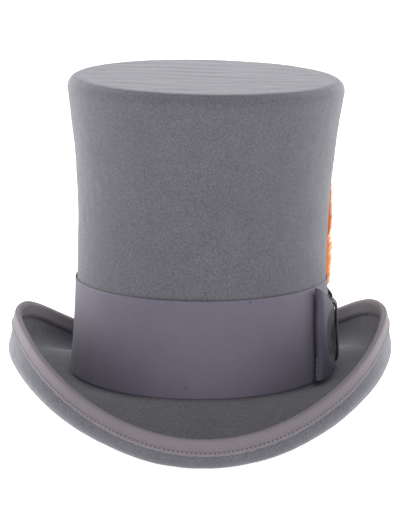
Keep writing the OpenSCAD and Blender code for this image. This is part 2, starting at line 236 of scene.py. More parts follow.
def bow_point(y, out, z):
    """The point out from the face of the hat band, y behind the knot's middle."""
    return hat_point(bow_angle(y), wall(np.clip(z, WALL_FOOT, BAND_TOP)) + GAP + RIBBON + out, z)


def bow_share(y):
    """0 at the knot, 1 at the ends of the bow."""
    return unit(np.abs(y) / BOW_HALF) ** 2.2


def bow_mid(y):
    return BOW_Z - KNOT_DROP * (1 - bow_share(y))


def feather_x(z):
    """How far to the side the feather's quill stands at height z above the brim."""
    quill_x = (
        HALF_W * sqrt(1 - (FEATHER_Y / HALF_L) ** 2) + wall(BAND_TOP) + shift(BAND_TOP)
        + GAP + RIBBON + 0.25 + QUILL_R
    )
    return quill_x + QUILL_OUT * (np.clip(z - BAND_TOP, 0, None) / (FEATHER_TOP - BAND_TOP)) ** 1.4


# ---- mesh tools
def ripple(points, wavelength, seed, waves=14):
    """A smooth random field between about -1 and 1, the same on every run."""
    rng = np.random.default_rng(seed)
    directions = rng.normal(size=(waves, 3))
    directions /= np.linalg.norm(directions, axis=1)[:, None]
    lengths = wavelength * rng.uniform(0.7, 1.6, waves)
    phases = rng.uniform(0, 2 * pi, waves)
    flat = np.asarray(points).reshape(-1, 3)
    total = np.cos(flat @ (directions / lengths[:, None]).T * 2 * pi + phases).sum(axis=1)
    return (total / sqrt(waves * 2)).reshape(np.asarray(points).shape[:-1])


def grid_faces(rows, columns, rows_close, columns_close):
    i = np.arange(rows if rows_close else rows - 1)
    j = np.arange(columns if columns_close else columns - 1)
    i, j = np.meshgrid(i, j, indexing="ij")
    i2, j2 = (i + 1) % rows, (j + 1) % columns
    corners = [i * columns + j, i2 * columns + j, i2 * columns + j2, i * columns + j2]
    return np.stack(corners, axis=-1).reshape(-1, 4).tolist()


def round_angles(count):
    return np.arange(count) / count * 2 * pi


def capped(rings):
    """Points and faces of closed rings in a row, with a point in the middle of each end."""
    count, around = rings.shape[:2]
    faces = grid_faces(count, around, False, True)
    for first, middle in ((0, count * around), ((count - 1) * around, count * around + 1)):
        faces += [[first + k, first + (k + 1) % around, middle] for k in range(around)]
    return np.vstack([rings.reshape(-1, 3), rings[0].mean(axis=0), rings[-1].mean(axis=0)]), faces


def add_object(name, data):
    thing = bpy.data.objects.new(name, data)
    bpy.context.collection.objects.link(thing)
    return thing


def make_piece(name, shape, look, slot, *nodes, body="hat"):
    """A piece that rides on a body; shape is points in millimetres, faces and maybe shades."""
    points, faces, *shade = shape
    mesh = bpy.data.meshes.new(name)
    mesh.from_pydata((np.asarray(points).reshape(-1, 3) * MM).tolist(), [], faces)
    work = bmesh.new()
    work.from_mesh(mesh)
    bmesh.ops.recalc_face_normals(work, faces=work.faces)
    work.to_mesh(mesh)
    work.free()
    mesh.shade_smooth()
    if shade:
        mesh.attributes.new("shade", "FLOAT", "POINT").data.foreach_set("value", np.ravel(shade))
    mesh.materials.append(look)
    piece = add_object(name, mesh)
    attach(piece, body)
    if nodes:
        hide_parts(*nodes)
    return piece


def unit_length(vectors):
    return vectors / np.maximum(np.linalg.norm(vectors, axis=2, keepdims=True), 1e-12)


def normals_of(middle, closed):
    """Unit normals of a grid of points, closed or open along its rows."""
    if closed:
        along = np.roll(middle, -1, axis=0) - np.roll(middle, 1, axis=0)
    else:
        along = np.gradient(middle, axis=0)
    return unit_length(np.cross(along, np.gradient(middle, axis=1)))


def skin(middle, thickness, closed, relief=0.0, shade=0.6):
    """Points, faces and shades of a closed sheet whose middle is a grid of points."""
    rows, columns = middle.shape[:2]
    normal = normals_of(middle, closed)
    half = (np.broadcast_to(thickness, (rows, columns)) / 2 + relief)[..., None]
    ring = np.concatenate([middle + normal * half, (middle - normal * half)[:, ::-1]], axis=1)
    faces = grid_faces(rows, 2 * columns, closed, True)
    if not closed:
        for row in (0, rows - 1):
            first = row * 2 * columns
            faces += [
                [first + j, first + j + 1, first + 2 * columns - 2 - j, first + 2 * columns - 1 - j]
                for j in range(columns - 1)
            ]
    tone = np.broadcast_to(shade, (rows, columns))
    return ring.reshape(-1, 3), faces, np.concatenate([tone, tone[:, ::-1]], axis=1).ravel()


def all_of(made):
    """One shape from several made by skin."""
    points, faces, shades = zip(*made)
    starts = np.cumsum([0, *map(len, points)]).tolist()
    faces = [[k + start for k in face] for part, start in zip(faces, starts) for face in part]
    return np.vstack(points), faces, np.concatenate(shades)


def edge_profile(columns_mm, width, round_in):
    """How thick a ribbon is at each distance across it, as a share: it thins at its two edges."""
    near = np.minimum(columns_mm, width - columns_mm)
    return np.sqrt(np.clip(1 - (1 - unit(near / round_in)) ** 2, 0.12, 1))


def across_ribbon(width, count, round_in):
    """Distances across a ribbon, closer together at its edges."""
    inner = np.linspace(round_in * 2, width - round_in * 2, count)
    edge = np.array([0, 0.25, 0.7, 1.3]) * round_in
    return np.concatenate([edge, inner, width - edge[::-1]])


def running(steps):
    """How far along a path each of its points is."""
    return np.concatenate([[0], np.cumsum(steps)])


def even_angles(curve, count):
    """Angles round the hat that divide a closed curve into equal lengths, and its length."""
    th = np.linspace(0, 2 * pi, 2401)
    run = running(np.linalg.norm(np.diff(curve(th), axis=0), axis=1))
    return np.interp(np.arange(count) / count * run[-1], run, th), run[-1]


def ribbed_angles(curve, pitch=RIB_PITCH):
    """As even_angles, for stations along the ribs of a ribbon that lies on the curve."""
    return even_angles(curve, int(round(even_angles(curve, 1)[1] / pitch)) * RIB_STEPS)


def girth(z, inside):
    """The length round the crown at height z, inside its outer face."""
    return even_angles(lambda a: hat_point(a, wall(z) - inside, z), 1)[1]


def rib_stations(length):
    return int(length / RIB_PITCH) * RIB_STEPS


def rib_crest(stations, share, least=0.3):
    """1 on the crest of each rib and 0 in each groove, and lower at the ribbon's thin edges."""
    wave = 0.5 - 0.5 * np.cos(np.arange(stations) % RIB_STEPS / RIB_STEPS * 2 * pi)
    return wave[:, None] * np.clip(share, least, 1)


def rib_shade(crest):
    """Painted shade: darker in the grooves, and never as dark as the painted shade of a seam or a deep fold.
    """
    return SEAM_SHADE + (1 - SEAM_SHADE) * crest


def tubes(lines, wide, thick, up, sides):
    """Points and faces of many thin closed tubes; lines is count x stations x 3."""
    count, stations = lines.shape[:2]
    tangent = unit_length(np.gradient(lines, axis=1))
    side = unit_length(np.cross(tangent, np.broadcast_to(up, lines.shape)))
    top = np.cross(side, tangent)
    wide, thick = (np.broadcast_to(k, (count, stations))[..., None, None] for k in (wide, thick))
    a = (np.arange(sides) + 0.5) / sides * 2 * pi
    ring = (
        lines[:, :, None] + side[:, :, None] * np.cos(a)[:, None] * wide
        + top[:, :, None] * np.sin(a)[:, None] * thick
    )
    base = np.array(grid_faces(stations, sides, False, True))
    starts = (np.arange(count) * stations * sides)[:, None, None]
    faces = (base[None] + starts).reshape(-1, 4).tolist()
    caps = np.stack([np.arange(sides), np.arange(sides) + (stations - 1) * sides])
    faces += (caps[None] + starts).reshape(-1, sides).tolist()
    return ring.reshape(-1, 3), faces


def stitch_lines(path, normal, length, pitch, proud, closed=True):
    """Short thread runs along a path, standing proud in the middle and dipping at their ends."""
    if closed:
        path, normal = np.vstack([path, path[:1]]), np.vstack([normal, normal[:1]])
    run = running(np.linalg.norm(np.diff(path, axis=0), axis=1))
    count = max(int(run[-1] / pitch), 1)
    first = (np.arange(count) + 0.15) * run[-1] / count
    t = np.linspace(0, 1, 7)
    where = first[:, None] + t * length
    points = np.stack([np.interp(where, run, path[:, k]) for k in range(3)], axis=-1)
    outward = np.stack([np.interp(where, run, normal[:, k]) for k in range(3)], axis=-1)
    arch = proud * (1 - np.abs(2 * t - 1) ** 3 * 1.9)
    return points + outward * arch[None, :, None], outward


def sewn(name, groups, radius, look, *nodes):
    """One piece from several groups of stitches, each a pair of lines and outward directions."""
    lines, outward = (np.concatenate(parts) for parts in zip(*groups))
    taper = radius * np.array([0.55, 0.9, 1, 1, 1, 0.9, 0.55])
    make_piece(name, tubes(lines, taper, taper, outward, 6), look, "thread", *nodes)


# ---- material tools; m is the material
def set_inputs(node, **values):
    for name, value in values.items():
        node.inputs[name.replace("_", " ")].default_value = value


def principled(m):
    return m.node_tree.nodes["Principled BSDF"]


def new_material(name, roughness, specular=0.3, sheen=0.0, sheen_roughness=0.4, sheen_tint=(1, 1, 1)):
    m = bpy.data.materials.new(name)
    m.use_nodes = True
    set_inputs(
        principled(m), Roughness=roughness, Specular_IOR_Level=specular, Sheen_Weight=sheen,
        Sheen_Roughness=sheen_roughness, Sheen_Tint=(*sheen_tint, 1),
    )
    return m


def add_node(m, kind, **values):
    node = m.node_tree.nodes.new(kind)
    for key, value in values.items():
        setattr(node, key, value)
    return node


def join(m, source, target):
    m.node_tree.links.new(source, target)


def noise(m, size_mm, detail=3.0, roughness=0.6, stretch=(1, 1, 1)):
    """Noise whose features are about size_mm across, longer along a stretched axis."""
    place = add_node(m, "ShaderNodeTexCoord")
    mapping = add_node(m, "ShaderNodeMapping")
    set_inputs(mapping, Scale=tuple(1 / (size_mm * MM * k) for k in stretch))
    texture = add_node(m, "ShaderNodeTexNoise")
    set_inputs(texture, Scale=1.0, Detail=detail, Roughness=roughness)
    join(m, place.outputs["Object"], mapping.inputs["Vector"])
    join(m, mapping.outputs["Vector"], texture.inputs["Vector"])
    return texture.outputs["Fac"]


def shade_of(m):
    return add_node(m, "ShaderNodeAttribute", attribute_name="shade").outputs["Fac"]


def ramp(m, value, stops):
    """Colours along a value: stops is a list of (position, (r, g, b))."""
    node = add_node(m, "ShaderNodeValToRGB")
    while len(node.color_ramp.elements) < len(stops):
        node.color_ramp.elements.new(0.5)
    for element, (position, colour) in zip(node.color_ramp.elements, stops):
        element.position = position
        element.color = (*colour, 1)
    join(m, value, node.inputs["Fac"])
    return node.outputs["Color"]


def mixer(m, kind, first, second):
    node = add_node(m, "ShaderNodeMix", data_type="RGBA", blend_type=kind)
    join(m, first, node.inputs[6])
    join(m, second, node.inputs[7])
    return node


def multiply(m, first, second):
    node = mixer(m, "MULTIPLY", first, second)
    node.inputs[0].default_value = 1.0
    return node.outputs[2]


def blend_by(m, factor, first, second):
    node = mixer(m, "MIX", first, second)
    join(m, factor, node.inputs[0])
    return node.outputs[2]


def times(colour, factor):
    return tuple(min(c * factor, 1) for c in colour)


def tones(m, value, colour, dark, light, start=0.3):
    """A colour that goes from dark to light shares of itself along a value."""
    return ramp(m, value, [(start, times(colour, dark)), (1 - start, times(colour, light))])


def dimmed(m, colour, value, darkest, start=0.3):
    """A colour made darker where a value is low."""
    return multiply(m, colour, tones(m, value, (1, 1, 1), darkest, 1, start))


def glow(m, colour, strength):
    """Emission that stands in for the light that the white surroundings send through or off something pale.
    """
    set_inputs(principled(m), Emission_Color=(*colour, 1), Emission_Strength=strength)


def dressed(m, colour, layers):
    """The material, coloured, with bump layers that are each (value, depth in millimetres)."""
    join(m, colour, principled(m).inputs["Base Color"])
    before = None
    for value, depth in layers:
        bump = add_node(m, "ShaderNodeBump")
        set_inputs(bump, Strength=1.0, Distance=depth * MM)
        join(m, value, bump.inputs["Height"])
        if before is not None:
            join(m, before, bump.inputs["Normal"])
        before = bump.outputs["Normal"]
    if before is not None:
        join(m, before, principled(m).inputs["Normal"])
    return m


# ---- materials
def felt_material():
    """Dense wool felt: mottled by its fibres, with a soft nap that lights up at grazing angles."""
    m = new_material("wool_felt", 0.9, 0.15, sheen=0.55, sheen_roughness=0.35, sheen_tint=(0.95, 0.96, 1))
    grey = (0.115, 0.114, 0.130)
    fibres, clouds = noise(m, 1.25, detail=5, roughness=0.8), noise(m, 22)
    colour = dimmed(m, tones(m, fibres, grey, 0.66, 1.34, 0.33), clouds, 0.93, 0.35)
    # the tip is brushed from side to side
    brushed = noise(m, 5, detail=4, roughness=0.7, stretch=(6, 1, 1))
    streaks = multiply(m, colour, ramp(m, brushed, [(0.38, (0.76, 0.77, 0.80)), (0.62, (1, 1, 1))]))
    on_tip = shade_of(m)
    return dressed(m, blend_by(m, on_tip, colour, streaks), [
        (clouds, 0.5), (fibres, 0.22), (noise(m, 0.35, detail=2), 0.08), (multiply(m, brushed, on_tip), 0.5),
    ])


def grosgrain_material(name, colour, sheen=0.25, groove=0.72):
    """Ribbed ribbon: painted shade in the grooves between its ribs and painted light on their crests, with
    fine crossing threads.
    """
    m = new_material(name, 0.62, sheen=sheen, sheen_roughness=0.45, sheen_tint=(1, 0.96, 1))
    # painted shade from the shade attribute darkens grooves, and far more seams and deep folds; painted light
    # brightens the crests of the ribs
    ribs = ramp(m, shade_of(m), [
        (0.0, times(colour, 0.12)), (SEAM_SHADE, times(colour, groove)), (1.0, times(colour, 1.12)),
    ])
    threads, worn = noise(m, 0.45, detail=2), noise(m, 14)
    woven = dimmed(m, dimmed(m, ribs, threads, 0.88), worn, 0.94, 0.35)
    return dressed(m, woven, [(worn, 0.25), (threads, 0.06)])


def thread_material(name, colour):
    """Spun thread, with the twist of its plies."""
    m = new_material(name, 0.6, sheen=0.3)
    plies = noise(m, 0.3, detail=2)
    return dressed(m, tones(m, plies, colour, 0.75, 1.15), [(plies, 0.08)])


def quill_material():
    m = new_material("quill_horn", 0.35, 0.5)
    grain = noise(m, 1.2, stretch=(1, 1, 6))
    red, orange, horn = (0.80, 0.20, 0.06), (0.92, 0.30, 0.07), (0.90, 0.45, 0.20)
    # painted light: the quill glows orange, as if the white surroundings shone through it
    glow(m, orange, 0.3)
    colour = ramp(m, shade_of(m), [(0.0, red), (0.5, orange), (1.0, horn)])
    return dressed(m, dimmed(m, colour, grain, 0.85), [(grain, 0.05)])


def feather_material(name, dark, middle, dark_to_middle, light):
    """Dyed feather: paler towards the end of each barb, and uneven from barb to barb."""
    m = new_material(name, 0.55, sheen=0.5, sheen_roughness=0.3, sheen_tint=(1, 0.75, 0.5))
    colour = ramp(m, shade_of(m), [(0.0, dark), (dark_to_middle, middle), (1.0, light)])
    # painted light: the feather glows, as if the white surroundings shone through its barbs
    glow(m, middle, 0.25)
    return dressed(m, dimmed(m, colour, noise(m, 2.5), 0.90), [(noise(m, 0.3, detail=2), 0.04)])


def leather_material():
    m = new_material("sweat_leather", 0.45, 0.4)
    pores = add_node(m, "ShaderNodeTexVoronoi")
    set_inputs(pores, Scale=900)
    place = add_node(m, "ShaderNodeTexCoord")
    join(m, place.outputs["Object"], pores.inputs["Vector"])
    patina = noise(m, 18, detail=4)
    brown = (0.075, 0.048, 0.036)
    grain = ramp(m, pores.outputs["Distance"], [(0.0, times(brown, 0.75)), (0.5, times(brown, 1.1))])
    return dressed(m, dimmed(m, grain, patina, 0.8), [(patina, 0.3), (pores.outputs["Distance"], 0.12)])


def reed_material():
    m = new_material("reed_plastic", 0.4, 0.45)
    drawn = noise(m, 0.8, detail=2, stretch=(3, 3, 1))
    colour = ramp(m, drawn, [(0.3, (0.018, 0.016, 0.017)), (0.7, (0.035, 0.031, 0.032))])
    return dressed(m, colour, [(drawn, 0.05)])


def satin_material():
    """Satin lining: smooth floats of thread, glossy along its grain."""
    m = new_material("lining_satin", 0.32, 0.5, sheen=0.3, sheen_roughness=0.3)
    grey = (0.085, 0.080, 0.098)
    floats, cloth = noise(m, 0.5, detail=2, stretch=(1, 1, 5)), noise(m, 16)
    colour = dimmed(m, tones(m, floats, grey, 0.85, 1.12), cloth, 0.9, 0.35)
    return dressed(m, colour, [(cloth, 0.3), (floats, 0.03)])


FELT_LOOK = felt_material()
BINDING_LOOK = grosgrain_material("binding_grosgrain", (0.178, 0.156, 0.178), 0.12, 0.9)
BAND_LOOK = grosgrain_material("band_grosgrain", (0.133, 0.117, 0.160), groove=0.82)
BOW_LOOK = grosgrain_material("bow_grosgrain", (0.110, 0.102, 0.140), 0.12)
THREAD_LOOK = thread_material("binding_thread", (0.235, 0.205, 0.23))
TACK_LOOK = thread_material("tack_thread", (0.16, 0.14, 0.175))
END_LOOK = thread_material("bow_thread", (0.30, 0.28, 0.33))
SEAM_LOOK = thread_material("leather_thread", (0.50, 0.44, 0.35))
QUILL_LOOK = quill_material()
VANE_LOOK = feather_material("feather_barbs", (0.95, 0.20, 0.02), (1.0, 0.32, 0.045), 0.55, (1.0, 0.50, 0.20))
DOWN_LOOK = feather_material("feather_down", (0.95, 0.24, 0.03), (1.0, 0.44, 0.10), 0.5, (1.0, 0.68, 0.40))
LEATHER_LOOK = leather_material()
REED_LOOK = reed_material()
SATIN_LOOK = satin_material()


# ---- camera, floor and light
def make_camera():
    """A long lens in front of the hat and a little above it, turned a touch off square."""
    low, high = CAD_BOX
    aside, below, distance, lens = 0.53 * MM, 6.16 * MM, 2.300, 242.12
    aim = Vector((aside, 0, (low.z + high.z) / 2 - below))
    turn, raised, roll = radians(-1.51), radians(9.545), radians(-0.116)
    back = Vector((sin(turn) * cos(raised), -cos(turn) * cos(raised), sin(raised)))
    right = Vector((0, 0, 1)).cross(back).normalized()
    up = back.cross(right)
    rolled = right * cos(roll) + up * sin(roll)
    upright = up * cos(roll) - right * sin(roll)
    data = bpy.data.cameras.new("camera")
    data.lens, data.sensor_width = lens, 36
    data.clip_start, data.clip_end = 0.05, 100
    camera = add_object("camera", data)
    axes = Matrix((rolled, upright, back)).transposed().to_4x4()
    camera.matrix_world = Matrix.Translation(aim + back * distance) @ axes
    bpy.context.scene.camera = camera


def make_floor():
    """A pale floor, wide enough to fill every view from above."""
    radius, rings, around = 12.0, 24, 96
    r = radius * (np.arange(1, rings + 1) / rings) ** 2.2
    a = round_angles(around)
    points = stacked(np.outer(r, np.cos(a)), np.outer(r, np.sin(a)), 0.0)
    points = points.reshape(-1, 3).tolist() + [[0, 0, 0]]
    faces = grid_faces(rings, around, False, True)
    faces += [[k, (k + 1) % around, len(points) - 1] for k in range(around)]
    mesh = bpy.data.meshes.new("floor")
    mesh.from_pydata(points, [], faces)
    floor = add_object("floor", mesh)
    m = new_material("floor_paper", 0.85, 0.1)
    glow(m, (1, 1, 1), 0.85)
    mesh.materials.append(dressed(m, ramp(m, noise(m, 3), [(0.3, (0.78,) * 3), (0.7, (0.82,) * 3)]), []))


def soft_light(name, place, target, size, watts):
    data = bpy.data.lights.new(name, "AREA")
    data.shape, data.size, data.energy = "DISK", size, watts
    light = add_object(name, data)
    light.location = place
    toward = Vector(target) - Vector(place)
    light.rotation_mode = "QUATERNION"
    light.rotation_quaternion = toward.to_track_quat("-Z", "Y")


def make_light():
    """An even white studio, with large soft lights above and at both sides behind."""
    world = bpy.data.worlds.new("studio")
    world.use_nodes = True
    set_inputs(world.node_tree.nodes["Background"], Color=(1, 1, 1, 1), Strength=0.95)
    bpy.context.scene.world = world
    bpy.context.scene.view_settings.view_transform = "Standard"
    middle = (0, 0, 0.12)
    soft_light("overhead", (0, 0.5, 1.6), middle, 1.2, 10)
    soft_light("left", (-1.5, 1.0, 0.6), middle, 1.2, 17)
    soft_light("right", (1.5, 1.0, 0.6), middle, 1.2, 12)


# ---- felt
def felt_shell():
    """Crown and brim from one piece of felt, as rings from the tip's outer middle to its inner one."""
    around = 256
    th = round_angles(around)
    rings, calm = [], []

    def add(d, z, steady=0.0, share=None):
        ring = hat_point(th, d, z)
        rings.append(ring if share is None else shrunk(ring, z, share))
        calm.append(np.broadcast_to(steady, (around,)))

    arc_d = FLARE_OUT - TIP_ROUND * cos(WALL_LEAN)
    arc_z = CROWN_H - TIP_ROUND
    disc = np.linspace(0.04, 0.985, 34)
    for share in disc:
        add(arc_d, CROWN_H, 0.3, share)
    for a in np.linspace(pi / 2, -WALL_LEAN, 12):
        add(arc_d + TIP_ROUND * cos(a), arc_z + TIP_ROUND * sin(a), 0.4)
    for z in np.linspace(WALL_TOP, WALL_FOOT, 62)[1:]:
        add(wall(z), z, unit((z - BAND_TOP) / 10))
    c_d, c_z, turn = root_centre(th)

    def root(radius, share=1):
        return c_d - radius * np.cos(turn * share), c_z - radius * np.sin(turn * share)

    def between(first, last, share):
        return [a + (b - a) * share for a, b in zip(first, last)]

    arcs = np.linspace(0, 1, 8)
    for share in arcs:
        add(*root(ROOT_ROUND, share))
    width, start = brim_width(th), brim_value("flat", th)
    curl_end = start + curl_length(th)
    stations = [start + (curl_end - start) * t for t in np.linspace(0, 1, 26)]
    stations += [curl_end + (width - curl_end) * t for t in np.linspace(0, 1, 7)[1:]]

    def steady_at(s):
        return unit((width - BINDING_W - 2 - s) / 5) * 0.8

    for share in np.linspace(0, 1, 14)[1:-1]:
        add(*between(root(ROOT_ROUND), brim_face(th, start, -FELT / 2), share), 0.6 * share)
    for s in stations:
        add(*brim_face(th, s, -FELT / 2), steady_at(s))
    for s in stations[::-1]:
        add(*brim_face(th, s, FELT / 2), steady_at(s))
    low_round = ROOT_ROUND + FELT
    for share in np.linspace(1, 0, 12)[1:-1]:
        add(*between(root(low_round), brim_face(th, start, FELT / 2), share))
    for share in arcs[::-1]:
        add(*root(low_round, share))
    for z in np.linspace(WALL_FOOT, WALL_TOP, 34)[:-1]:
        add(wall(z) - FELT, z)
    inner = TIP_ROUND - FELT
    for a in np.linspace(-WALL_LEAN, pi / 2, 8):
        add(arc_d + inner * cos(a), arc_z + inner * sin(a))
    for share in disc[::-2]:
        add(arc_d, arc_z + inner, share=share)

    points = np.array(rings)
    soft = 0.30 * ripple(points, 46, seed=3) + 0.10 * ripple(points, 11, seed=4)
    # the nap moves the surface along its own normal, least where ribbon lies on it
    normal = normals_of(np.swapaxes(points, 0, 1), True).swapaxes(0, 1)
    move = soft * np.array(calm)
    # the tip is a little uneven where it was brushed from side to side
    fade = unit((1 - disc) / 0.12)[:, None]
    move[:len(disc)] += 0.2 * fade * ripple(points[:len(disc)] * (0.3, 1, 1), 14, seed=5)
    points += normal * move[..., None]
    tip_rings = len(disc) + 4
    on_tip = np.repeat(np.arange(len(rings)) < tip_rings, around).astype(float)
    shape = *capped(points), np.concatenate([on_tip, [1.0, 0.0]])
    make_piece("felt_shell", shape, FELT_LOOK, "wool_felt", "felt_body")


# ---- brim binding
# Distances from the binding's edge, with one on the seam
BINDING_FLAT = np.array([0, 0.13, 0.35, 0.75, SEAM_IN - 0.6, SEAM_IN, SEAM_IN + 0.6, 5.2, BINDING_W - 0.6])
SEAM_ROW = 5  # the seam's place in that list


def binding_path(width):
    """Distances s and offsets of the ribbon's middle as it folds round the edge of the brim."""
    turns = np.radians(np.linspace(-75, 75, 5))
    upper = [(width - BINDING_W + f, -BINDING_OUT) for f in BINDING_FLAT]
    fold = [(width + BINDING_OUT * 0.9 * cos(a), BINDING_OUT * sin(a)) for a in turns]
    lower = [(width - BINDING_W + f, BINDING_OUT) for f in BINDING_FLAT[::-1]]
    return upper + fold + lower


def brim_binding():
    """Grosgrain folded over the edge, its ribs across it, with small puckers along both edges."""
    th, length = ribbed_angles(lambda a: hat_point(a, *brim_face(a, brim_width(a), 0)), BINDING_RIB_PITCH)
    crinkle = CRINKLE * ripple(hat_point(th, 60.0, 0.0), 5, seed=12)
    width = brim_width(th)
    path = binding_path(width)
    last = len(path) - 1
    from_edge = np.minimum(np.arange(last + 1), last - np.arange(last + 1))
    grid = np.stack([
        hat_point(th, *brim_face(th, s + (crinkle if near < 4 else 0), o))
        for (s, o), near in zip(path, from_edge)
    ], axis=1)
    pucker = (0.45 + 0.55 * ripple(grid, 6, seed=11)) * unit(1 - from_edge / SEAM_ROW) * PUCKER
    stitch = 0.5 + 0.5 * np.cos(np.arange(len(th)) / len(th) * length / STITCH_PITCH * 2 * pi)
    sewn_down = np.where(from_edge == SEAM_ROW, STITCH_DENT, 0) * (0.6 + 0.4 * stitch[:, None])
    on_fold = from_edge == last // 2
    ridge = np.where(on_fold, FOLD_RIDGE, 0)
    grid += normals_of(grid, True) * (np.clip(pucker, 0, None) - sewn_down + ridge)[..., None]
    share = np.array([0.3, 0.75, 0.95] + [1] * 30)[from_edge]
    crest = rib_crest(len(th), share, 0.4)
    # painted shade: the ribbon darkens at both edges, where they stand off the felt, and in the groove along
    # the seam
    tone = rib_shade(crest) * np.array([0.1, 0.3, 1, 1, 0.7, 0, 0.7] + [1] * 30)[from_edge]
    # painted highlight on the crease of the fold, with painted shade on the row at each side of it
    tone = np.where(on_fold, 1.0, tone) * np.where(from_edge == last // 2 - 1, 0.4, 1)
    shape = skin(grid, RIBBON * share, True, RIB_HEIGHT * crest, tone)
    piece = make_piece("binding_ribbon", shape, BINDING_LOOK, "binding_grosgrain", "brim_binding")
    width = 2 * BINDING_W + pi * BINDING_OUT


def seam_path(th, face):
    s = brim_width(th) - BINDING_W + SEAM_IN
    out = face * (FELT / 2 + BINDING_GAP + RIBBON)
    here = hat_point(th, *brim_face(th, s, out))
    above = hat_point(th, *brim_face(th, s, out + face))
    return here, above - here


def binding_stitches():
    th = np.linspace(0, 2 * pi, 1600, endpoint=False)
    groups = [stitch_lines(*seam_path(th, face), 1.9, STITCH_PITCH, 0.25) for face in (-1, 1)]
    sewn("binding_stitches", groups, 0.3, THREAD_LOOK, "binding_thread")


# ---- hat band
def hat_band():
    """Wide grosgrain ribbon round the crown, its top edge standing a little off the felt."""
    th, length = ribbed_angles(lambda a: hat_point(a, wall(36.0), 36.0))
    foot = root_centre(th)[1] - 0.4
    down = across_ribbon(1.0, 13, 0.009)
    heights = BAND_TOP + (foot[:, None] - BAND_TOP) * down
    d = wall(np.maximum(heights, WALL_FOOT))
    d += (wall(WALL_FOOT / 2) - d) * unit((WALL_FOOT - heights) / WALL_FOOT)
    grid = hat_point(th[:, None], d + GAP + RIBBON / 2, heights)
    lifted = unit(1 - down / 0.25) ** 2 + 0.5 * unit((down - 0.85) / 0.15)
    wave = (0.5 + 0.5 * ripple(grid, 55, seed=21)) * lifted * BAND_LIFT
    wave += BAND_WAVE * (1 + ripple(grid, 30, seed=22))
    # the bow and the quill press the band flat
    loose = np.where(grid[..., 0] > 0, unit((np.abs(grid[..., 1]) - BOW_HALF) / 10), 1)
    grid = hat_point(th[:, None], d + GAP + RIBBON / 2 + np.maximum(wave, 0) * loose, heights)
    width_mm = BAND_TOP - float(foot.mean())
    share = edge_profile(down * width_mm, width_mm, 0.55)
    selvedge = 1 + SELVEDGE * np.exp(-((np.minimum(down, 1 - down) * width_mm - 1.0) / 0.6) ** 2)
    crest = rib_crest(len(th), share)
    shape = skin(grid, RIBBON * share * selvedge, True, RIB_HEIGHT * crest, rib_shade(crest))
    piece = make_piece("band_ribbon", shape, BAND_LOOK, "band_grosgrain", "hat_band")


def band_tacks():
    """A few hand stitches that catch the band's two edges."""
    groups = []
    for th in np.radians([35, 90, 145, 200, 250, 290]):
        for angle, z in ((th, BAND_TOP - 2), (th + radians(12), WALL_FOOT + 2)):
            spread = angle + np.linspace(-1, 1, 12) * 1.4 / HALF_L
            for rise in (-0.35, 0.35):
                at = z + rise + np.linspace(-0.25, 0.25, 12)
                here = hat_point(spread, wall(at) + GAP + RIBBON + 0.55, at)
                outward = hat_point(spread, wall(at) + GAP + RIBBON + 1.55, at) - here
                groups.append(stitch_lines(here, outward, 2.2, 2.6, 0.3, closed=False))
    sewn("band_tack_stitches", groups, 0.2, TACK_LOOK, "band_tacks")


# ---- bow
def bell(y, wide):
    return np.exp(-((y / wide) ** 2))


def pocket(y):
    """The backing bulges where the quill runs behind it."""
    return 0.2 + QUILL_ROOM * bell(y - FEATHER_Y, 6)


def loop_base(y):
    """How far from the band's face the inner layer of the loops lies."""
    return 0.5 + RIBBON + QUILL_ROOM * bell(y - FEATHER_Y, 9) + (RIBBON + 1.0) * bell(y, 14)


def loop_open(y):
    """0 under the knot, 1 where the loops are full."""
    return unit((np.abs(y) - UNDER_KNOT) / (BOW_HALF * 0.7 - UNDER_KNOT))


def loop_depth(y):
    return 2.2 + 3.6 * np.sin(loop_open(y) * pi / 2) ** 2


def loop_height(y):
    return KNOT_H + (LOOP_H - KNOT_H) * bow_share(y)


def loop_end(v):
    """The ends of the loops are hollow: their corners reach further than their middle."""
    return 1 + 0.05 * (4 * v ** 2 - 1) + 0.010 * np.sin(11 * v + 1)


def pleats(v):
    """Folds across the ribbon where the knot gathers it: deepest along its middle."""
    return -np.cos(4 * pi * v) * 0.7 - bell(v + 0.06, 0.09) * 0.8


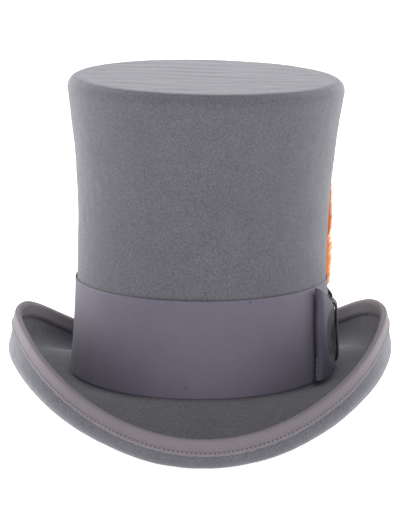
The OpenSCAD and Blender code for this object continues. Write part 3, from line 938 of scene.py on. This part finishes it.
def bow_loop(way):
    """One flattened loop: from under the knot, out along the band, round its end and back on top."""
    reach = BOW_HALF - LOOP_TURN
    y_in = np.linspace(0, reach, 60)
    a = np.linspace(-pi / 2, pi / 2, 24)[1:-1]
    mid = loop_base(reach * way) + loop_depth(reach) / 2
    half = loop_depth(reach) / 2 - RIBBON / 2
    path_y = np.concatenate([y_in, reach + LOOP_TURN * np.cos(a), y_in[::-1]])
    inner = loop_base(y_in * way) + RIBBON / 2
    outer = loop_base(y_in * way) + loop_depth(y_in) - RIBBON / 2
    path_out = np.concatenate([inner, mid + half * np.sin(a), outer[::-1]])
    side = np.concatenate([-np.ones(len(y_in)), np.sin(a), np.ones(len(y_in))])
    run = running(np.hypot(np.diff(path_y), np.diff(path_out)))
    even = np.linspace(0, run[-1], rib_stations(run[-1]) + 1)
    y, out, layer = (np.interp(even, run, values) for values in (path_y, path_out, side))
    v = across_ribbon(LOOP_H, 22, 0.5) / LOOP_H - 0.5
    free = unit((y - UNDER_KNOT) / 5)
    gather = 0.8 * free * np.exp(-((y - HOLLOW_FROM) / 15) ** 2) + 0.18 * (1 - free)
    fold = np.where(layer > 0, 1, 0.25) * gather
    bulge = 0.7 * loop_open(y) * (1 - unit((y - reach) / LOOP_TURN)) * (layer > 0)
    # the outer layer sinks into a rounded hollow that runs in under the knot
    rim = np.abs(2 * v / 0.9) ** 3 + (np.maximum(y - HOLLOW_FROM, 0) / HOLLOW_LONG)[:, None] ** 2.6
    pit = unit(1.5 * (1 - rim))
    pit = pit * pit * (3 - 2 * pit) * ((layer > 0) * (0.35 + 0.65 * free))[:, None]
    room = np.interp(y, y_in, outer - inner) - RIBBON
    depth = out[:, None] + fold[:, None] * pleats(v) + bulge[:, None] * (1 - (2 * v) ** 2)
    depth -= HOLLOW_DEEP * pit * (room + bulge)[:, None]
    flare = 0.035 * unit((y - reach + 20) / 20)
    corner = 0.03 * unit((y - reach + 3) / 4)[:, None] * np.abs(2 * v) ** 8
    z = bow_mid(y)[:, None] + v * (loop_height(y) * (1 + flare))[:, None] * (1 - corner)
    reach_out = 1 + (loop_end(v) - 1) * bow_share(y)[:, None]
    grid = bow_point((y * way)[:, None] * reach_out, depth, z)
    grid += normals_of(grid, False) * (0.12 * ripple(grid, 17, seed=31 + way))[..., None]
    # painted shade in the hollow, darkest towards the knot
    shadow = 1 - HOLLOW_DEEP * pit * (1 - 0.25 * unit(y / 40))[:, None]
    return grid, edge_profile((v + 0.5) * LOOP_H, LOOP_H, 0.5), run[-1], shadow


def bow_loops():
    made, total = [], 0
    for way in (-1, 1):
        grid, share, length, shadow = bow_loop(way)
        crest = rib_crest(len(grid), share)
        tone = rib_shade(crest) * shadow
        made.append(skin(grid, BOW_RIBBON * share, False, RIB_HEIGHT * 0.8 * crest, tone))
        total += length
    piece = make_piece("bow_loop_ribbon", all_of(made), BOW_LOOK, "bow_grosgrain", "bow_loops")


def bow_backing():
    """The flat ribbon under the loops, bowed out where the quill slides behind it."""
    half, tall = BOW_HALF - 8, BACKING_H
    stations = rib_stations(2 * half) + 1
    y = np.linspace(-half, half, stations)
    v = across_ribbon(tall, 14, 0.5)
    grid = bow_point(y[:, None], (pocket(y) + RIBBON / 2)[:, None], BACKING_TOP - tall + v)
    share = edge_profile(v, tall, 0.5)
    crest = rib_crest(stations, share)
    shape = skin(grid, BOW_RIBBON * share, False, 0.05 * crest, rib_shade(crest))
    piece = make_piece("bow_backing_ribbon", shape, BOW_LOOK, "bow_grosgrain", "bow_backing")


def bow_knot():
    """A short ribbon wrapped round the middle of the loops, with two soft folds along it."""
    high = KNOT_H / 2 + 1.6
    a = np.linspace(0, 2 * pi, 1201)
    power = 0.42
    path_out, path_z = (np.sign(k) * np.abs(k) ** power for k in (np.cos(a), np.sin(a)))
    deep = loop_depth(0.0) / 2 + 0.95
    run = running(np.hypot(np.diff(path_out) * deep, np.diff(path_z) * high))
    around = rib_stations(run[-1])
    even = np.arange(around) / around * run[-1]
    out, z = np.interp(even, run, path_out), np.interp(even, run, path_z)
    w = across_ribbon(KNOT_W, 14, 0.5) - KNOT_W / 2
    fold = 0.38 * np.cos(w / KNOT_W * 4 * pi) * unit(out)[:, None]
    pinch = 1 - 0.10 * (1 - (2 * np.abs(z)[:, None] - 1) ** 2) * (out > 0)[:, None]
    y = w * pinch
    mid = loop_base(y) + loop_depth(0.0) / 2
    crown = 0.5 * (1 - (2 * w / KNOT_W) ** 2) * unit(out)[:, None]
    depth = mid + out[:, None] * deep + fold + crown
    grid = bow_point(y, depth, bow_mid(0.0) + z[:, None] * high)
    share = edge_profile(w + KNOT_W / 2, KNOT_W, 0.5)
    crest = rib_crest(around, share)
    # painted shade: the knot darkens towards both its edges, where it stands over the loops
    tone = rib_shade(crest) * unit(0.25 + np.minimum(w + KNOT_W / 2, KNOT_W / 2 - w) / 3)
    shape = skin(grid, 0.7 * share, True, 0.08 * crest, tone)
    piece = make_piece("bow_knot_ribbon", shape, BOW_LOOK, "bow_grosgrain", "bow_knot")


def bow_stitches():
    """Thread that holds the ends of the loops to the band, low on each rounded end."""
    groups = []
    for way in (-1, 1):
        v = np.linspace(-0.46, -0.26, 12)
        y = way * ((BOW_HALF - 0.2) * loop_end(v) + 0.3)
        z = BOW_Z + v * LOOP_H
        out = loop_base(y) + loop_depth(BOW_HALF) / 2 - 1
        here = bow_point(y, out, z)
        outward = bow_point(y + way, out, z) - here
        groups.append(stitch_lines(here, outward, 2.0, 3.0, 0.35, closed=False))
    sewn("bow_end_stitches", groups, 0.25, END_LOOK)


# ---- feather
def feather_quill():
    stations, sides = 60, 14
    z = np.linspace(FEATHER_FOOT, FEATHER_TOP - 1, stations)
    tip_share = unit((FEATHER_TOP - z) / (FEATHER_TOP - BAND_TOP))
    radius = np.where(z < BAND_TOP, QUILL_R, np.maximum(QUILL_R * tip_share, 0.15))
    radius[0] = 0.25
    radius[1] = 0.6
    line = stacked(feather_x(z), FEATHER_Y, z + LIFT)[None]
    shade = np.repeat(unit((z - BACKING_TOP) / 45), sides)
    shape = *tubes(line, radius[None], radius[None], (0, 1, 0), sides), shade
    make_piece("feather_shaft", shape, QUILL_LOOK, "quill", "feather_quill", body="feather")


def barbs(rng, starts, reach, rise, side, out, curl, droop, stations=9):
    """Centre lines of barbs that leave the quill at heights starts and sweep up and outwards."""
    t = np.linspace(0, 1, stations)
    across = side[:, None] * (0.4 + reach[:, None] * (t * (1.15 - 0.15 * t)))
    z = starts[:, None] + rise[:, None] * t ** 1.35 - droop[:, None] * t ** 3
    wander = rng.normal(0, 0.25, len(starts))[:, None] * t ** 2
    x = feather_x(z) + out[:, None] * t + curl[:, None] * t ** 2
    return stacked(x, FEATHER_Y + across + wander * reach[:, None] / VANE_W, z + LIFT), t


def feather_vane():
    """The blade: close barbs up to the point, cupped outwards, and loose wisps lower down."""
    rng = np.random.default_rng(41)
    pick = rng.uniform
    strands = []
    for side in (-1, 1):
        count = 96
        tip = np.linspace(VANE_FOOT + 7, FEATHER_TOP, count)
        share = (tip - VANE_FOOT) / (FEATHER_TOP - VANE_FOOT)
        reach = VANE_W / 2 * np.sin(pi * (0.3 + 0.7 * share) ** 0.8) ** 0.7 * pick(0.94, 1, count)
        reach = np.maximum(np.nan_to_num(reach), 0.2)
        rise = reach * 0.9 + 1.5
        lines, t = barbs(
            rng, tip - rise, reach, rise, np.full(count, side), rng.normal(0, 0.08, count),
            0.3 + 1.9 * reach / (VANE_W / 2) + rng.normal(0, 0.1, count), np.zeros(count),
        )
        each = np.ones((count, 1))
        strands.append((
            lines, each * BARB_W * (1 - 0.75 * t ** 2), each * BARB_THICK * (1 - 0.6 * t),
            each * (0.2 + 0.6 * t) + rng.normal(0, 0.08, count)[:, None],
        ))
    for side in (-1, 1):
        count = 70
        start = pick(VANE_FOOT - 8, VANE_FOOT + 8, count)
        reach = pick(5, 11, count)
        lines, t = barbs(
            rng, start, reach, pick(3, 14, count), np.full(count, side),
            pick(0.4, 2.4, count), pick(0.2, 3.0, count), pick(0, 3, count),
        )
        each = np.ones((count, 1))
        strands.append((
            lines, each * WISP_W * (1 - 0.7 * t), each * WISP_THICK * (1 - 0.7 * t), each * (0.6 + 0.4 * t),
        ))
    lines, wide, thick, shade = (np.concatenate(parts) for parts in zip(*strands))
    lines = clear_of_crown(lines)
    shape = *tubes(lines, wide, thick, (1, 0, 0), 4), np.repeat(unit(shade).ravel(), 4)
    make_piece("feather_blade", shape, VANE_LOOK, "feather_barbs", "feather_vane", body="feather")


def feather_down():
    """Loose fluff at the foot of the feather, each strand curling its own way."""
    rng = np.random.default_rng(43)
    pick = rng.uniform
    count, stations = 700, 9
    t = np.linspace(0, 1, stations)
    start = BACKING_TOP + 2 + rng.beta(1.1, 1.7, count) * (VANE_FOOT - BACKING_TOP - 6)
    side = np.where(pick(size=count) < 0.5, -1, 1)
    grown = unit((start - BACKING_TOP) / 16)
    reach = pick(3, 10, count) * (0.4 + 0.6 * grown)
    lines, _ = barbs(
        rng, start, reach, pick(2, 11, count) * (0.3 + 0.7 * grown), side,
        pick(0.8, 3.0, count) * (0.8 + 0.2 * grown),
        pick(0.0, 3.6, count) * (0.6 + 0.4 * grown), pick(0, 4, count) * grown,
    )
    beat, phase = pick(3, 7, (count, 1)), pick(0, 6, (count, 1))
    sway = pick(0.5, 1.2, (count, 1)) * np.sin(t * beat + phase)
    lines[:, :, 1] += sway * t
    lines[:, :, 2] += np.roll(sway, 1, axis=0) * t * 0.8
    lines = clear_of_crown(lines)
    wide = np.outer(pick(0.10, 0.20, count), 1 - 0.7 * t)
    shade = np.outer(pick(0.0, 0.4, count), np.ones(stations)) + 0.6 * t
    shape = *tubes(lines, wide, wide, (1, 0, 0), 4), np.repeat(unit(shade).ravel(), 4)
    make_piece("feather_fluff", shape, DOWN_LOOK, "feather_down", "feather_down", body="feather")


def clear_of_crown(lines):
    """Push strands outwards where they would touch the felt or the band, in and out of the bow."""
    y, z = lines[:, :, 1], lines[:, :, 2] - LIFT
    nearest = np.maximum(surface_x(y, z), surface_x(y, z + FEATHER_TRAVEL))
    over_band = unit(BAND_TOP + 1 - z) * (GAP + RIBBON + 0.2)
    lines[:, :, 0] = np.maximum(lines[:, :, 0], nearest + 0.3 + over_band)
    return lines


def surface_x(y, z):
    """x of the crown's side at the given y and height above the brim."""
    d = wall(z)
    return (HALF_W + d) * np.sqrt(1 - (y / (HALF_L + d)) ** 2) + shift(z)


# ---- inside
def sweatband():
    """Leather strip round the opening, its upper edge easing off the lining."""
    th = round_angles(480)
    down = across_ribbon(1.0, 14, 0.015)
    z = WALL_FOOT + SWEAT_H * (1 - down)
    ease = 0.5 * unit((z - 30) / 12) ** 2
    base = wall(z) - SWEAT_OUT - LEATHER / 2 - ease
    first = hat_point(th[:, None], base, z)
    slack = 0.25 * (1 + ripple(first, 60, seed=51)) * unit((z - WALL_FOOT - 6) / 20)
    grid = hat_point(th[:, None], base - slack, z)
    share = edge_profile(down * SWEAT_H, SWEAT_H, 0.6)
    shape = skin(grid, LEATHER * share, True)[:2]
    piece = make_piece("sweatband_leather", shape, LEATHER_LOOK, "sweat_leather", "sweatband")
    length = girth(20.0, SWEAT_OUT)


def sweatband_reed():
    around, sides = 480, 12
    th, a = round_angles(around)[:, None], round_angles(sides)
    c_d = wall(WALL_FOOT) - SWEAT_OUT - LEATHER / 2
    c_z = WALL_FOOT - REED_R - 0.15
    wound = REED_R * (1 + 0.04 * np.sin(th * 180))
    points = hat_point(th, c_d + wound * np.cos(a), c_z + wound * np.sin(a))
    shape = points, grid_faces(around, sides, True, True)
    make_piece("sweatband_reed_rod", shape, REED_LOOK, "reed_plastic", "sweatband_reed")


def sweatband_stitches():
    th = np.linspace(0, 2 * pi, 1200, endpoint=False)
    z = WALL_FOOT + 2.2
    d = wall(z) - SWEAT_OUT - LEATHER
    here = hat_point(th, d, z)
    inward = hat_point(th, d - 1, z) - here
    groups = [stitch_lines(here, inward, 2.3, 3.4, 0.3)]
    sewn("sweatband_stitches", groups, 0.25, SEAM_LOOK, "sweatband_thread")


def sweatband_bow():
    """The small ribbon bow that marks the back of the hat: two loops and a wrapped middle."""
    low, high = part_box("sweatband_bow")
    middle = (low + high) / 2 / MM
    half_w, half_h, thick = (high.x - low.x) / 2 / MM, 5.0, 0.35
    made, v = [], np.linspace(-1, 1, 9)
    for way in (-1, 1):
        t = np.linspace(0, 1, 61)
        a = t * 2 * pi
        x = way * half_w * (0.5 - 0.5 * np.cos(a)) ** 0.8
        depth = np.sin(a) * 0.75
        open_share = (np.abs(x) / half_w) ** 0.7
        tall = half_h * (0.32 + 0.68 * open_share)
        y = middle.y - 0.1 - depth[:, None] - 0.25 * np.cos(v * pi * 1.5) * (1 - open_share)[:, None]
        grid = stacked(x[:, None] + middle.x, y, middle.z + v * tall[:, None])
        made.append(skin(grid, thick, False, shade=0.7))
    a = round_angles(40)
    w = np.linspace(-2.2, 2.2, 7)
    ring_y = middle.y - 0.1 + 1.1 * np.cos(a)
    ring_z = middle.z + 3.3 * np.sin(a)
    grid = stacked(middle.x + w, ring_y[:, None], ring_z[:, None])
    made.append(skin(grid, thick, True, shade=0.7))
    piece = make_piece("sweatband_back_bow", all_of(made), BOW_LOOK, "bow_grosgrain", "sweatband_bow")


def lining_side():
    """Satin wall of the lining, with soft upright folds that deepen towards the tip."""
    th = round_angles(720)
    foot, turn_from, top = WALL_FOOT + SWEAT_H - 14, 185, 193.6
    z = np.linspace(foot, top, 46)
    turn = unit((z - turn_from) / (top - turn_from))
    d = wall(np.minimum(z, WALL_TOP)) - FELT - GAP - SATIN / 2 - LINING_TURN * turn ** 2.5
    fold_share = 0.15 + 0.85 * ((z - foot) / (top - foot)) ** 1.5
    folds = 0.5 + 0.3 * np.sin(72 * th) + 0.2 * np.sin(53 * th + 1.3)
    drift = hat_point(th[:, None], d, z)
    folds = np.clip(folds[:, None] + 0.35 * ripple(drift, 40, seed=61), 0, 1.4)
    inward = 0.15 + 0.8 * folds * fold_share * (1 - 0.5 * turn)
    inward = np.where(z < foot + 16, 0.15, inward)
    grid = hat_point(th[:, None], d - inward, z)
    piece = make_piece("lining_wall", skin(grid, SATIN, True)[:2], SATIN_LOOK, "satin", "lining_side")
    length = girth(110.0, FELT)


def lining_tip():
    """Oval of satin over the tip, slightly slack, with small pleats round its edge."""
    rings, th = 30, round_angles(256)
    d = wall(WALL_TOP) - LINING_TURN - FELT - GAP - 0.4
    level = CROWN_H - FELT - 2 - SATIN / 2
    share = (np.arange(1, rings + 1) / rings) ** 0.8
    rim = hat_point(th, d, level)
    layers = []
    for sign in (1, -1):
        for s in share if sign > 0 else share[::-1]:
            ring = shrunk(rim, level, s)
            slack = 0.9 * (1 - s ** 4) * (0.5 + 0.5 * ripple(ring, 45, seed=71))
            pleat = 0.35 * s ** 6 * (0.5 + 0.5 * np.sin(th * 64))
            ring[:, 2] -= slack + pleat - sign * SATIN / 2 * (1 if s < 0.999 else 0.4)
            layers.append(ring)
    piece = make_piece("lining_oval", capped(np.array(layers)), SATIN_LOOK, "satin", "lining_tip")


# ---- all of it
make_camera()
make_floor()
make_light()
felt_shell()
brim_binding()
binding_stitches()
hat_band()
band_tacks()
bow_backing()
bow_loops()
bow_knot()
bow_stitches()
feather_quill()
feather_vane()
feather_down()
sweatband()
sweatband_reed()
sweatband_stitches()
sweatband_bow()
lining_side()
lining_tip()
